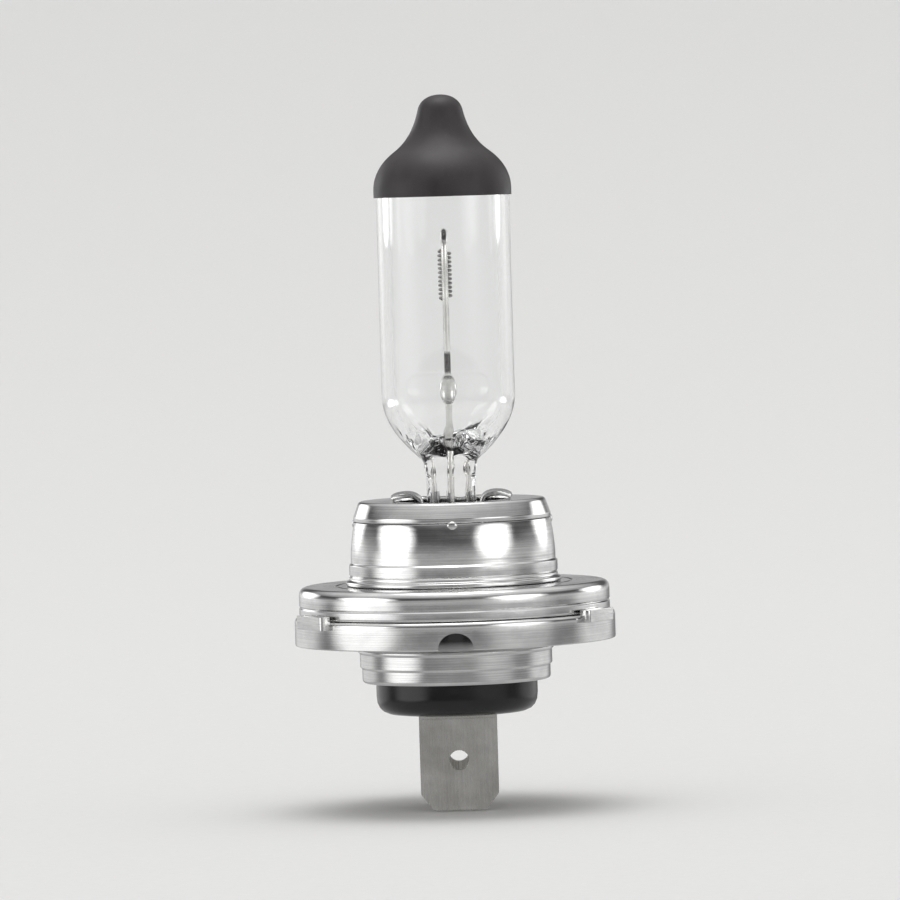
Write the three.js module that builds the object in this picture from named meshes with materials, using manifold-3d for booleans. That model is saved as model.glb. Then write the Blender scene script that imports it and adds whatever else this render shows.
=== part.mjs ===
// A 12 V single-filament headlight bulb: a quartz capsule in a prefocus metal base with two flat blades.
// Millimetres, +Z up along the bulb's axis. The origin is on that axis in the reference plane, which is
// the plane of the three lugs that the lamp's seat touches. -Y is the side of the indexing notch.
import * as THREE from "three";
import { mergeVertices } from "three/addons/utils/BufferGeometryUtils.js";
import Module from "manifold-3d";

const wasm = await Module();
wasm.setup();

// ---- Driving dimensions -------------------------------------------------------------------------------

const FIT_GAP = 0.05; // between pieces that touch on the real bulb
const TURN_SEGMENTS = 32; // around every turned or drawn piece
const CURVE_STEPS = 4; // along each curved stretch of an outline

// Quartz capsule
const TUBE_RADIUS = 5.4;
const TUBE_WALL = 1.05;
const SHOULDER_Z = 34; // where the tube ends and the dome starts
const NECK_Z = 36.9; // where the dome turns into the exhaust tip
const NECK_RADIUS = 3.75;
const TIP_Z = 41.45;
const TIP_RADIUS = 1.65;
const COLLAPSE_TOP_Z = 17.3; // below this the round tube is pressed flat
const COLLAPSE_BOTTOM_Z = 12;
const PINCH_BOTTOM_Z = 2.6;
const PINCH_HALF_THICKNESS = 2.1;
const PINCH_HALF_WIDTH = 5.3;
const PINCH_CORNER = 1.5;
const PINCH_RECESS = 0.85; // depth of the flat pressed into each broad face, between its edge beads
const CAVITY_BOTTOM_Z = 12.2;
const CAVITY_HALF_THICKNESS = 1.7; // where the pinch begins
const CAVITY_CORNER = 1.4;
const COATING_THICKNESS = 0.16;
const COATING_BOTTOM_Z = 33.4;

// Filament and the wires that carry it
const FILAMENT_Z = 25; // its end nearest the base, above the reference plane
const COIL_LENGTH = 4.1;
const COIL_TURNS = 12;
const COIL_RADIUS = 0.48; // to the wire's centre
const COIL_WIRE_RADIUS = 0.1;
const COIL_STEPS_PER_TURN = 13;
const HOOK_Z = 30.55; // the long lead's end, beside the upper leg
const UPPER_LEG_Z = HOOK_Z + 0.25;
const SHORT_LEAD_Z = 21.1; // the short lead's end, beside the lower leg
const LOWER_LEG_Z = SHORT_LEAD_Z - 0.4;
const LEAD_RADIUS = 0.25;
const LEAD_Y = 2.4; // each lead's distance from the axis where it enters the pinch
const BRIDGE_Z = 17.8;
const BRIDGE_RADIUS = 0.71; // half of the bead's width across the leads
const BRIDGE_HEIGHT_RATIO = 1.82; // the bead sagged while it was soft, so it is taller than it is wide
const BRIDGE_LENGTH = 5.5; // between the centres of its round ends
const FOIL_THICKNESS = 0.05;
const FOIL_WIDTH = 2;
const FOIL_TOP_Z = 9.5;
const FOIL_BOTTOM_Z = 4.3;
const WELD_OVERLAP = 1.3; // length of lead laid on the foil

// Metal base
const SHEET = 0.4;
const TONGUE_WIDTH = 6; // of the spring tongue on each clamp plate
const TONGUE_THICKNESS = 0.34;
const CAP_TOP_Z = 8.85;
const COLLAR_TOP_Z = 7.2;
const COLLAR_RADIUS = 8.3;
const PILOT_TOP_Z = 2.05;
const PILOT_RADIUS = 12.6;
const RING_SHEET = 0.5;
const FLANGE_TOP_Z = -0.4;
const FLANGE_BOTTOM_Z = -2.65;
const FLANGE_RADIUS = 13;
const RING_BORE = 8;
const LUG_REACH = 13.6;
const LUG_WIDTH = 4.2;
const LUG_ANGLES = [90, 210, 330];
const NOTCH_WIDTH = 2.8;
const NOTCH_TOP_Z = -1.25;
const CAN_RADIUS = 7.85;
const CAN_TOP_Z = 1.3;
const CAN_BOTTOM_Z = -5.85;
const CAN_BEAD_Z = -3.25;
const CAN_BAND_HEIGHT = 1.15; // of the stretch that is rolled in a little at the lower end
const CAN_BAND_STEP = 0.15;

// Insulator and contact blades
const PLUG_TOP_Z = -2.2;
const PLUG_BOTTOM_Z = -8.45;
const PLUG_RADIUS = 6.55;
const BLADE_WIDTH = 6.3;
const BLADE_THICKNESS = 0.8;
const SHANK_THICKNESS = 0.6; // of the blade inside the insulator
const BLADE_Y = 4.3; // each blade's centre plane
const BLADE_TIP_Z = -16;
const BLADE_TAIL_TOP_Z = 0.2;

// ---- Materials ----------------------------------------------------------------------------------------

const finish = (color, roughness, metalness, extra = {}) =>
  new THREE.MeshStandardMaterial({ color, roughness, metalness, ...extra });

const quartz = finish(0xf2f5f5, 0.02, 0, { transparent: true, opacity: 0.3 });
const coating = finish(0x3b383a, 0.6, 0);
const tungsten = finish(0x8a8680, 0.45, 1);
const molybdenum = finish(0xb4b2ae, 0.3, 1);
const foil = finish(0x9c9ca0, 0.25, 1);
const steel = finish(0xcfd1d3, 0.2, 1);
const springSteel = finish(0xb9bbbd, 0.3, 1);
const plastic = finish(0x17181a, 0.35, 0);
const tinned = finish(0xd6d4cc, 0.28, 1);

// ---- Helpers ------------------------------------------------------------------------------------------

function piece(name, geometry, material) {
  const mesh = new THREE.Mesh(geometry, material);
  mesh.name = name;
  return mesh;
}

// A closed three.js geometry as a manifold-3d solid, and back.
function solid(geometry) {
  const bare = geometry.clone();
  bare.deleteAttribute("normal");
  bare.deleteAttribute("uv");
  const merged = mergeVertices(bare, 1e-4);
  return new wasm.Manifold(
    new wasm.Mesh({
      numProp: 3,
      vertProperties: new Float32Array(merged.attributes.position.array),
      triVerts: new Uint32Array(merged.index.array),
    }),
  );
}

function geometryOf(manifold) {
  const mesh = manifold.getMesh();
  const geometry = new THREE.BufferGeometry();
  geometry.setAttribute("position", new THREE.BufferAttribute(mesh.vertProperties, 3));
  geometry.setIndex(new THREE.BufferAttribute(mesh.triVerts, 1));
  return geometry;
}

const cut = (geometry, ...tools) =>
  geometryOf(tools.reduce((left, tool) => left.subtract(solid(tool)), solid(geometry)));

const join = (...geometries) =>
  geometryOf(geometries.map(solid).reduce((whole, part) => whole.add(part)));

// Points of a 2-D path whose curves are sampled and whose straight stretches keep only their ends.
const sample = (path) => path.getPoints(CURVE_STEPS);

// An (r, z) outline turned about Z. It runs upwards on its outer side.
function turned(points, segments = TURN_SEGMENTS) {
  return new THREE.LatheGeometry(points, segments).rotateX(Math.PI / 2);
}

// The same path moved sideways by distance: positive is to the right of its direction of travel.
function offset(points, distance) {
  return points.map((point, i) => {
    const before = points[Math.max(i - 1, 0)];
    const after = points[Math.min(i + 1, points.length - 1)];
    const into = point.clone().sub(before).normalize();
    const out = after.clone().sub(point).normalize();
    if (i === 0) into.copy(out);
    if (i === points.length - 1) out.copy(into);
    const along = into.add(out).normalize();
    const mitre = Math.max(along.dot(out), 0.5);
    return new THREE.Vector2(
      point.x + (along.y * distance) / mitre,
      point.y - (along.x * distance) / mitre,
    );
  });
}

// Sheet metal drawn to a path: the path is its outer face, and the sheet lies on the inner side.
function drawn(path, thickness) {
  const outer = sample(path);
  const inner = offset(outer, -thickness).reverse();
  return turned([...outer, ...inner, outer[0]]);
}

// A round wire of that radius along a curve.
function wire(curve, radius, steps, sides = 8) {
  const section = Array.from({ length: sides }, (_, i) => {
    const angle = (2 * Math.PI * i) / sides;
    return new THREE.Vector2(radius * Math.cos(angle), radius * Math.sin(angle));
  });
  return new THREE.ExtrudeGeometry(new THREE.Shape(section), { extrudePath: curve, steps });
}

const inPlane = (points) => points.map(([y, z]) => new THREE.Vector3(0, y, z));

function box(width, depth, height, x, y, z) {
  return new THREE.BoxGeometry(width, depth, height).translate(x, y, z);
}

// A cylinder along Z from one height to another.
function rod(radius, bottom, top, x, y, segments = 12) {
  return new THREE.CylinderGeometry(radius, radius, top - bottom, segments)
    .rotateX(Math.PI / 2)
    .translate(x, y, (bottom + top) / 2);
}

// ---- Quartz capsule -----------------------------------------------------------------------------------

// The tube, dome and exhaust tip from the given height up to the tip.
function capsuleOutline(fromZ) {
  return new THREE.Path()
    .moveTo(TUBE_RADIUS, fromZ)
    .lineTo(TUBE_RADIUS, SHOULDER_Z)
    .bezierCurveTo(TUBE_RADIUS, 35.2, 4.7, 36.2, NECK_RADIUS, NECK_Z)
    .bezierCurveTo(2.8, 37.6, 2.05, 38.6, TIP_RADIUS, 40.3)
    .bezierCurveTo(1.5, 41.1, 0.8, TIP_Z, 0, TIP_Z);
}

// The point on a rounded rectangle that lies as far along it as the angle does along a circle.
function onRoundedRectangle(angle, halfX, halfY, corner) {
  const quarter = Math.PI / 2;
  const turn = THREE.MathUtils.euclideanModulo(angle, 4 * quarter);
  const part = (turn % quarter) / quarter;
  const share = Math.floor(turn / quarter) % 2 === 1 ? 1 - part : part;
  const side = halfY - corner;
  const arc = corner * quarter;
  const along = share * (side + arc + halfX - corner);
  const bend = THREE.MathUtils.clamp((along - side) / corner, 0, quarter);
  const x = halfX - corner + corner * Math.cos(bend) - Math.max(along - side - arc, 0);
  const y = Math.min(along, side) + corner * Math.sin(bend);
  return [x * Math.sign(Math.cos(angle)), y * Math.sign(Math.sin(angle))];
}

// Presses a turned tube flat below COLLAPSE_TOP_Z, as the sealing jaws do: its round section becomes a
// rounded rectangle of the given half sizes and corner radius.
function press(geometry, radius, halfX, halfY, corner) {
  const position = geometry.attributes.position;
  for (let i = 0; i < position.count; i++) {
    const [x, y, z] = [position.getX(i), position.getY(i), position.getZ(i)];
    const depth = (COLLAPSE_TOP_Z - z) / (COLLAPSE_TOP_Z - COLLAPSE_BOTTOM_Z);
    const share = THREE.MathUtils.clamp(depth, 0, 1) ** 2;
    const reach = Math.hypot(x, y) / radius;
    if (share === 0 || reach < 1e-6) continue;
    const [flatX, flatY] = onRoundedRectangle(Math.atan2(y, x), halfX, halfY, corner);
    position.setXY(i,
      THREE.MathUtils.lerp(x, flatX * reach, share),
      THREE.MathUtils.lerp(y, flatY * reach, share));
  }
  return geometry;
}

// Rings between two heights, so that a pressed stretch has vertices to move.
const rings = (radius, fromZ, toZ, count) =>
  Array.from({ length: count }, (_, i) =>
    new THREE.Vector2(radius, THREE.MathUtils.lerp(fromZ, toZ, i / count)));

function capsuleBody() {
  const outline = [
    new THREE.Vector2(0, PINCH_BOTTOM_Z),
    new THREE.Vector2(TUBE_RADIUS, PINCH_BOTTOM_Z),
    ...rings(TUBE_RADIUS, COLLAPSE_BOTTOM_Z, COLLAPSE_TOP_Z, 6),
    ...sample(capsuleOutline(COLLAPSE_TOP_Z)),
  ];
  return press(turned(outline), TUBE_RADIUS, PINCH_HALF_THICKNESS, PINCH_HALF_WIDTH, PINCH_CORNER);
}

function capsuleCavity() {
  const radius = TUBE_RADIUS - TUBE_WALL;
  const outline = new THREE.Path()
    .moveTo(0, CAVITY_BOTTOM_Z)
    .lineTo(2.9, CAVITY_BOTTOM_Z + 0.1)
    .bezierCurveTo(3.9, 12.9, radius, 14.4, radius, 16.8)
    .lineTo(radius, SHOULDER_Z)
    .bezierCurveTo(radius, 35.4, 3.4, 36.5, 1.5, 36.9)
    .lineTo(0, 37);
  return press(turned(sample(outline)), radius, CAVITY_HALF_THICKNESS, radius, CAVITY_CORNER);
}

// The way that one lead and its foil take through the pinch.
function pinchChannel(side) {
  const y = side * LEAD_Y;
  const clear = LEAD_RADIUS + FIT_GAP + 0.03;
  const foilSlot = box(0.8, FOIL_WIDTH + 0.2, FOIL_TOP_Z - FOIL_BOTTOM_Z + 0.2,
    -0.08, y, (FOIL_TOP_Z + FOIL_BOTTOM_Z) / 2);
  return join(
    foilSlot,
    rod(clear, FOIL_TOP_Z - 1, CAVITY_BOTTOM_Z + 1, 0, y),
    rod(clear, PINCH_BOTTOM_Z - 1, FOIL_BOTTOM_Z + 1, 0, y),
  );
}

// The flat pressed into one broad face of the pinch leaves a bead along each of its edges.
function pinchRecess(side) {
  const x = side * (PINCH_HALF_THICKNESS - PINCH_RECESS + 1);
  return box(2, 2 * PINCH_HALF_WIDTH - 2.6, 8, x, 0, PINCH_BOTTOM_Z + 4.9);
}

function glassEnvelope() {
  const cuts = [capsuleCavity(), ...[1, -1].flatMap((side) => [pinchChannel(side), pinchRecess(side)])];
  return piece("glass_envelope", cut(capsuleBody(), ...cuts), quartz);
}

// The opaque coating baked on the dome, which stops direct glare.
function glareCoating() {
  const glass = sample(capsuleOutline(COATING_BOTTOM_Z));
  const inner = offset(glass, FIT_GAP);
  const outer = offset(glass, FIT_GAP + COATING_THICKNESS);
  for (const side of [inner, outer]) side.at(-1).x = 0;
  return piece("glare_coating",
    turned([...outer, ...inner.reverse(), outer[0].clone()]), coating);
}

// ---- Filament and leads -------------------------------------------------------------------------------

// A coil on the Z axis whose wire runs out along the axis at both ends.
class FilamentCurve extends THREE.Curve {
  getPoint(t, target = new THREE.Vector3()) {
    const top = FILAMENT_Z + COIL_LENGTH;
    const legShare = 0.06;
    if (t < legShare) {
      return target.set(0, 0, THREE.MathUtils.lerp(LOWER_LEG_Z, FILAMENT_Z - 0.3, t / legShare));
    }
    if (t > 1 - legShare) {
      return target.set(0, 0, THREE.MathUtils.lerp(top + 0.3, UPPER_LEG_Z, (t - 1) / legShare + 1));
    }
    const turn = (t - legShare) / (1 - 2 * legShare);
    const ends = Math.min(turn, 1 - turn) * COIL_TURNS;
    const radius = COIL_RADIUS * THREE.MathUtils.smoothstep(ends, 0, 0.6);
    const angle = 2 * Math.PI * COIL_TURNS * turn;
    const z = THREE.MathUtils.lerp(FILAMENT_Z, top, turn) +
      0.3 * Math.sign(turn - 0.5) * (1 - THREE.MathUtils.smoothstep(ends, 0, 0.6));
    return target.set(radius * Math.cos(angle), radius * Math.sin(angle), z);
  }
}

function filament() {
  const steps = COIL_STEPS_PER_TURN * COIL_TURNS;
  return piece("filament", wire(new FilamentCurve(), COIL_WIRE_RADIUS, steps, 6), tungsten);
}

// The long lead passes in front of the coil and hooks back to its upper leg.
function longLead() {
  const curve = new THREE.CatmullRomCurve3(inPlane([
    [-LEAD_Y, FOIL_TOP_Z - WELD_OVERLAP], [-LEAD_Y, 14], [-LEAD_Y, 20], [-LEAD_Y, 26], [-LEAD_Y, 28.8],
    [-2.2, HOOK_Z - 0.7], [-1.5, HOOK_Z - 0.15], [-0.7, HOOK_Z], [-COIL_WIRE_RADIUS - FIT_GAP, HOOK_Z],
  ]));
  return piece("long_lead", wire(curve, LEAD_RADIUS, 30), molybdenum);
}

// The short lead stands behind the coil's axis and turns in to its lower leg.
function shortLead() {
  const curve = new THREE.CatmullRomCurve3(inPlane([
    [LEAD_Y, FOIL_TOP_Z - WELD_OVERLAP], [LEAD_Y, 13], [LEAD_Y, 17], [LEAD_Y, 19],
    [2.1, SHORT_LEAD_Z - 0.9], [1.4, SHORT_LEAD_Z - 0.2], [0.7, SHORT_LEAD_Z],
    [COIL_WIRE_RADIUS + FIT_GAP, SHORT_LEAD_Z],
  ]));
  return piece("short_lead", wire(curve, LEAD_RADIUS, 24), molybdenum);
}

// The bead of quartz melted across both leads keeps them apart.
function quartzBridge() {
  const bead = new THREE.CapsuleGeometry(BRIDGE_RADIUS, BRIDGE_LENGTH, 4, 14)
    .scale(1, 1, BRIDGE_HEIGHT_RATIO).translate(0, 0, BRIDGE_Z);
  const holes = [1, -1].map((side) =>
    rod(LEAD_RADIUS + FIT_GAP, BRIDGE_Z - 2, BRIDGE_Z + 2, 0, side * LEAD_Y));
  return piece("quartz_bridge", cut(bead, ...holes), quartz);
}

function sealingFoil(name, side) {
  const x = -(LEAD_RADIUS + FIT_GAP + FOIL_THICKNESS / 2);
  const height = FOIL_TOP_Z - FOIL_BOTTOM_Z;
  return piece(name,
    box(FOIL_THICKNESS, FOIL_WIDTH, height, x, side * LEAD_Y, FOIL_BOTTOM_Z + height / 2), foil);
}

// An outer lead runs from its foil down to the inner face of its blade's tail.
function outerLead(name, side) {
  const bladeY = BLADE_Y - SHANK_THICKNESS / 2 - FIT_GAP - LEAD_RADIUS;
  const curve = new THREE.CatmullRomCurve3(inPlane([
    [LEAD_Y, FOIL_BOTTOM_Z + WELD_OVERLAP], [LEAD_Y, 4], [LEAD_Y, 2.6], [2.55, 1.9],
    [3.3, 0.7], [bladeY, -0.1], [bladeY, -1.9],
  ].map(([y, z]) => [side * y, z])));
  return piece(name, wire(curve, LEAD_RADIUS, 20), molybdenum);
}

// ---- Metal base ---------------------------------------------------------------------------------------

// One of the two clamp plates that grip the pinch between them: a face plate, two wings that reach out to
// the sleeve, and a spring tongue that stands out of the cap and curls outwards over its edge.
function clampPlate(name, side) {
  const face = PINCH_HALF_THICKNESS + 0.15;
  const back = face + SHEET;
  const outline = new THREE.Shape()
    .moveTo(face, -5.2).lineTo(face, 5.2).lineTo(4.15, 5.85)
    .lineTo(4.35, 5.45).lineTo(back, 4.85).lineTo(back, -4.85)
    .lineTo(4.35, -5.45).lineTo(4.15, -5.85);
  const plate = new THREE.ExtrudeGeometry(outline, { depth: 4, bevelEnabled: false })
    .translate(0, 0, 3);
  const bend = sample(new THREE.Path()
    .moveTo(face, 6.6)
    .lineTo(face, 8.3)
    .bezierCurveTo(face, 9.1, 2.8, 9.5, 3.7, 9.5)
    .bezierCurveTo(4.3, 9.5, 4.7, 9.4, 4.95, 9.15));
  const strip = new THREE.Shape([...bend, ...offset(bend, TONGUE_THICKNESS).reverse()]);
  const tongue = new THREE.ExtrudeGeometry(strip, { depth: TONGUE_WIDTH, bevelEnabled: false })
    .rotateX(Math.PI / 2).translate(0, TONGUE_WIDTH / 2, 0);
  const half = join(plate, tongue);
  return piece(name, side > 0 ? half : half.rotateZ(Math.PI), springSteel);
}

// The sleeve holds the clamp plates and slides in the collar while the filament is focused.
function burnerSleeve() {
  const path = new THREE.Path().moveTo(7.6, 2.2).lineTo(7.6, COLLAR_TOP_Z - FIT_GAP);
  return piece("burner_sleeve", drawn(path, 0.3), springSteel);
}

// The conical cap closes the top of the collar around the pinch.
function holderCap() {
  const path = new THREE.Path()
    .moveTo(8, COLLAR_TOP_Z + FIT_GAP)
    .lineTo(8, COLLAR_TOP_Z + 0.3)
    .lineTo(7.6, CAP_TOP_Z - 0.35)
    .quadraticCurveTo(7.5, CAP_TOP_Z, 7.15, CAP_TOP_Z)
    .lineTo(4.2, CAP_TOP_Z);
  const opening = new THREE.CylinderGeometry(1, 1, 3, 32).rotateX(Math.PI / 2)
    .scale(4.6, 6.35, 1).translate(0, 0, CAP_TOP_Z);
  return piece("holder_cap", cut(drawn(path, SHEET), opening), steel);
}

// The collar stands on the pilot ring and carries the sleeve.
function focusCollar() {
  const foot = PILOT_TOP_Z + FIT_GAP;
  const path = new THREE.Path()
    .moveTo(8.75, foot)
    .lineTo(8.75, foot + 0.3)
    .quadraticCurveTo(8.45, foot + 0.4, 8.45, foot + 0.8)
    .lineTo(8.45, 3.8)
    .lineTo(8.3, 3.9)
    .lineTo(COLLAR_RADIUS, 4.3)
    .quadraticCurveTo(8.26, 5.75, 8, COLLAR_TOP_Z);
  const outer = sample(path);
  const inner = [new THREE.Vector2(7.7, COLLAR_TOP_Z), new THREE.Vector2(7.95, foot)];
  return piece("focus_collar", turned([...outer, ...inner, outer[0]]), steel);
}

// The pilot ring centres the bulb in the lamp's opening.
function pilotRing() {
  const path = new THREE.Path()
    .moveTo(PILOT_RADIUS, FLANGE_TOP_Z + FIT_GAP)
    .lineTo(PILOT_RADIUS, 1.1)
    .quadraticCurveTo(PILOT_RADIUS, PILOT_TOP_Z, PILOT_RADIUS - 1.1, PILOT_TOP_Z)
    .lineTo(RING_BORE, PILOT_TOP_Z);
  return piece("pilot_ring", drawn(path, RING_SHEET), steel);
}

// The flange ring has a turned-down rim with an arched notch, and three lugs whose tops are the
// reference plane.
function flangeRing() {
  const path = new THREE.Path()
    .moveTo(FLANGE_RADIUS, FLANGE_BOTTOM_Z)
    .lineTo(FLANGE_RADIUS, FLANGE_TOP_Z - 0.5)
    .quadraticCurveTo(FLANGE_RADIUS, FLANGE_TOP_Z, FLANGE_RADIUS - 0.5, FLANGE_TOP_Z)
    .lineTo(RING_BORE, FLANGE_TOP_Z);
  const lugInner = PILOT_RADIUS + 0.15;
  const lugBottom = FLANGE_TOP_Z - 0.6;
  const lugs = LUG_ANGLES.map((angle) =>
    box(LUG_REACH - lugInner, LUG_WIDTH, -lugBottom, (LUG_REACH + lugInner) / 2, 0, lugBottom / 2)
      .rotateZ(THREE.MathUtils.degToRad(angle)));
  const arch = new THREE.Shape()
    .moveTo(-NOTCH_WIDTH / 2, FLANGE_BOTTOM_Z - 1)
    .lineTo(NOTCH_WIDTH / 2, FLANGE_BOTTOM_Z - 1)
    .lineTo(NOTCH_WIDTH / 2, FLANGE_BOTTOM_Z + 0.2)
    .quadraticCurveTo(NOTCH_WIDTH / 2, NOTCH_TOP_Z, 0, NOTCH_TOP_Z)
    .quadraticCurveTo(-NOTCH_WIDTH / 2, NOTCH_TOP_Z, -NOTCH_WIDTH / 2, FLANGE_BOTTOM_Z + 0.2);
  const notch = new THREE.ExtrudeGeometry(arch, { depth: 3, bevelEnabled: false, curveSegments: 5 })
    .rotateX(Math.PI / 2).translate(0, 1 - FLANGE_RADIUS, 0);
  return piece("flange_ring", cut(join(drawn(path, RING_SHEET), ...lugs), notch), steel);
}

// The can runs up through both rings and is rolled in over the insulator at its lower end.
function baseCan() {
  const wall = CAN_RADIUS - 0.05;
  const band = wall - CAN_BAND_STEP;
  const path = new THREE.Path()
    .moveTo(6.95, CAN_BOTTOM_Z)
    .quadraticCurveTo(band, CAN_BOTTOM_Z, band, CAN_BOTTOM_Z + 0.6)
    .lineTo(band, CAN_BOTTOM_Z + CAN_BAND_HEIGHT)
    .lineTo(wall, CAN_BOTTOM_Z + CAN_BAND_HEIGHT + CAN_BAND_STEP)
    .lineTo(wall, CAN_BEAD_Z - 0.2)
    .lineTo(CAN_RADIUS + 0.1, CAN_BEAD_Z)
    .lineTo(wall, CAN_BEAD_Z + 0.2)
    .lineTo(wall, CAN_TOP_Z);
  return piece("base_can", drawn(path, SHEET), steel);
}

// ---- Insulator and blades -----------------------------------------------------------------------------

function insulator() {
  const edge = 1.8;
  const shoulder = CAN_BOTTOM_Z + 1.1;
  const outline = new THREE.Path()
    .moveTo(0, PLUG_BOTTOM_Z)
    .lineTo(PLUG_RADIUS - edge, PLUG_BOTTOM_Z)
    .quadraticCurveTo(PLUG_RADIUS, PLUG_BOTTOM_Z, PLUG_RADIUS, PLUG_BOTTOM_Z + edge)
    .lineTo(PLUG_RADIUS, shoulder)
    .lineTo(CAN_RADIUS - SHEET - 0.25, shoulder)
    .lineTo(CAN_RADIUS - SHEET - 0.25, PLUG_TOP_Z)
    .lineTo(0, PLUG_TOP_Z);
  const slots = [1, -1].map((side) =>
    box(BLADE_WIDTH + 2 * FIT_GAP, SHANK_THICKNESS + 2 * FIT_GAP, 10, 0, side * BLADE_Y, -5));
  return piece("insulator", cut(turned(sample(outline)), ...slots), plastic);
}

// A blade has a chamfered tip and a latching hole. The shank inside the insulator is thinner, and it ends in
// a narrow tail for the weld.
function blade(name, side) {
  const half = BLADE_WIDTH / 2;
  const shoulder = PLUG_BOTTOM_Z - 0.2;
  const tail = 1.6;
  const exposed = new THREE.Shape()
    .moveTo(-half + 1, BLADE_TIP_Z).lineTo(half - 1, BLADE_TIP_Z).lineTo(half, BLADE_TIP_Z + 1.3)
    .lineTo(half, shoulder).lineTo(-half, shoulder).lineTo(-half, BLADE_TIP_Z + 1.3);
  exposed.holes.push(new THREE.Path().absarc(0, BLADE_TIP_Z + 4, 0.8, 0, 2 * Math.PI));
  const shank = new THREE.Shape()
    .moveTo(-half, shoulder - 0.1).lineTo(half, shoulder - 0.1).lineTo(half, PLUG_TOP_Z)
    .lineTo(tail, PLUG_TOP_Z).lineTo(tail, BLADE_TAIL_TOP_Z).lineTo(-tail, BLADE_TAIL_TOP_Z)
    .lineTo(-tail, PLUG_TOP_Z).lineTo(-half, PLUG_TOP_Z);
  const plate = (outline, thickness) =>
    new THREE.ExtrudeGeometry(outline, { depth: thickness, bevelEnabled: false, curveSegments: 8 })
      .rotateX(Math.PI / 2)
      .translate(0, side * BLADE_Y + thickness / 2, 0);
  return piece(name, join(plate(exposed, BLADE_THICKNESS), plate(shank, SHANK_THICKNESS)), tinned);
}

// ---- The bulb -----------------------------------------------------------------------------------------

const bulb = new THREE.Group();
bulb.name = "headlight_bulb";

const burner = new THREE.Group();
burner.add(
  glassEnvelope(), glareCoating(), filament(), longLead(), shortLead(), quartzBridge(),
  sealingFoil("long_lead_foil", -1), sealingFoil("short_lead_foil", 1),
  outerLead("rear_outer_lead", 1), outerLead("front_outer_lead", -1),
);

const base = new THREE.Group();
base.add(
  clampPlate("right_clamp_plate", 1), clampPlate("left_clamp_plate", -1), burnerSleeve(),
  holderCap(), focusCollar(), pilotRing(), flangeRing(), baseCan(), insulator(),
  blade("rear_blade", 1), blade("front_blade", -1),
);

bulb.add(burner, base);

export default bulb;
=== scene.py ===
"""A halogen headlight bulb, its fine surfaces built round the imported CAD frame.

Outlines are in millimetres and are scaled to metres as each mesh is made. The bulb's axis is Z, and -Y is
the side of the flange's notch.
"""

import math

import bmesh
import bpy
from mathutils import Matrix, Vector, noise
from mathutils.geometry import interpolate_bezier


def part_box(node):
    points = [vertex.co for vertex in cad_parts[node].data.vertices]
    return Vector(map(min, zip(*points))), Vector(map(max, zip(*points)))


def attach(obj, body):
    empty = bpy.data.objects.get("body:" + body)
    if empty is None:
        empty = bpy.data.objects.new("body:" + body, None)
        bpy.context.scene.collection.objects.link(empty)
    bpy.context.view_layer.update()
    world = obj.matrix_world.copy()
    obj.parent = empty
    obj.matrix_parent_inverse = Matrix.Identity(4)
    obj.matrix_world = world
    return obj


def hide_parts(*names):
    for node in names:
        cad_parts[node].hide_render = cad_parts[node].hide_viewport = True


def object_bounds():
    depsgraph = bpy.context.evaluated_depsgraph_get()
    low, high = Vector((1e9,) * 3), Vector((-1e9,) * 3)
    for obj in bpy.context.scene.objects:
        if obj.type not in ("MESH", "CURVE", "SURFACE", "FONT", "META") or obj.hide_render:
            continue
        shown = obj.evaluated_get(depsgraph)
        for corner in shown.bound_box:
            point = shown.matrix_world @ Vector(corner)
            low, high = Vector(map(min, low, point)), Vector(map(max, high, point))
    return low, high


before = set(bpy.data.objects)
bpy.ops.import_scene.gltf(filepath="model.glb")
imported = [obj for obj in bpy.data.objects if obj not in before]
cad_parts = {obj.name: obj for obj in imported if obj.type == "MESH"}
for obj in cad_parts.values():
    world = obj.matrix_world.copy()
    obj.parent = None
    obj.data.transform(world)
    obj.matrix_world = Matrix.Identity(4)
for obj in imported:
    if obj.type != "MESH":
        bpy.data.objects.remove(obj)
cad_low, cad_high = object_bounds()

MM = 0.001
ROUND = 160  # segments round a turned piece
FINE_ROUND = 480  # where a cut or weld would otherwise show in the reflections
ARC_STEPS = 5  # along each rounded corner of an outline
MOST_OF_HALF = 0.48  # how far along a side its corner may reach, so that two corners never meet
SLIVER = 0.00005  # edges shorter than this, left by a cut, are closed up
ON_AXIS = 1e-6  # anything nearer the axis than this is on it
UPRIGHT = Matrix.Rotation(math.radians(90), 4, "X")  # stands a flat outline up, facing -Y
EDGE_ANGLE = math.radians(40)  # an edge that turns more than this is rounded
NOISE_SEED = 5

noise.seed_set(NOISE_SEED)  # without a seed, noise_vector gives a new pattern on every run


def size_mm(node):
    """A CAD node's lowest and highest corners, in millimetres."""
    low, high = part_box(node)
    return low / MM, high / MM


# ---- Meshes ------------------------------------------------------------------------------------------


def angles(count):
    """Equal steps round a full turn."""
    return [2 * math.pi * i / count for i in range(count)]


def place(name, mesh_source, material, slot, *nodes, sharp_degrees=38):
    """Makes a bmesh in millimetres into a finished piece that stands for the named CAD nodes."""
    bmesh.ops.scale(mesh_source, vec=(MM, MM, MM), verts=mesh_source.verts)
    mesh = bpy.data.meshes.new(name)
    mesh_source.to_mesh(mesh)
    mesh_source.free()
    mesh.shade_smooth()
    mesh.set_sharp_from_angle(angle=math.radians(sharp_degrees))
    piece = bpy.data.objects.new(name, mesh)
    bpy.context.scene.collection.objects.link(piece)
    mesh.materials.append(material)
    flat_faces = piece.modifiers.new("flat_faces", "WEIGHTED_NORMAL")
    flat_faces.keep_sharp = True
    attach(piece, "root")
    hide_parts(*nodes)
    return piece


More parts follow.
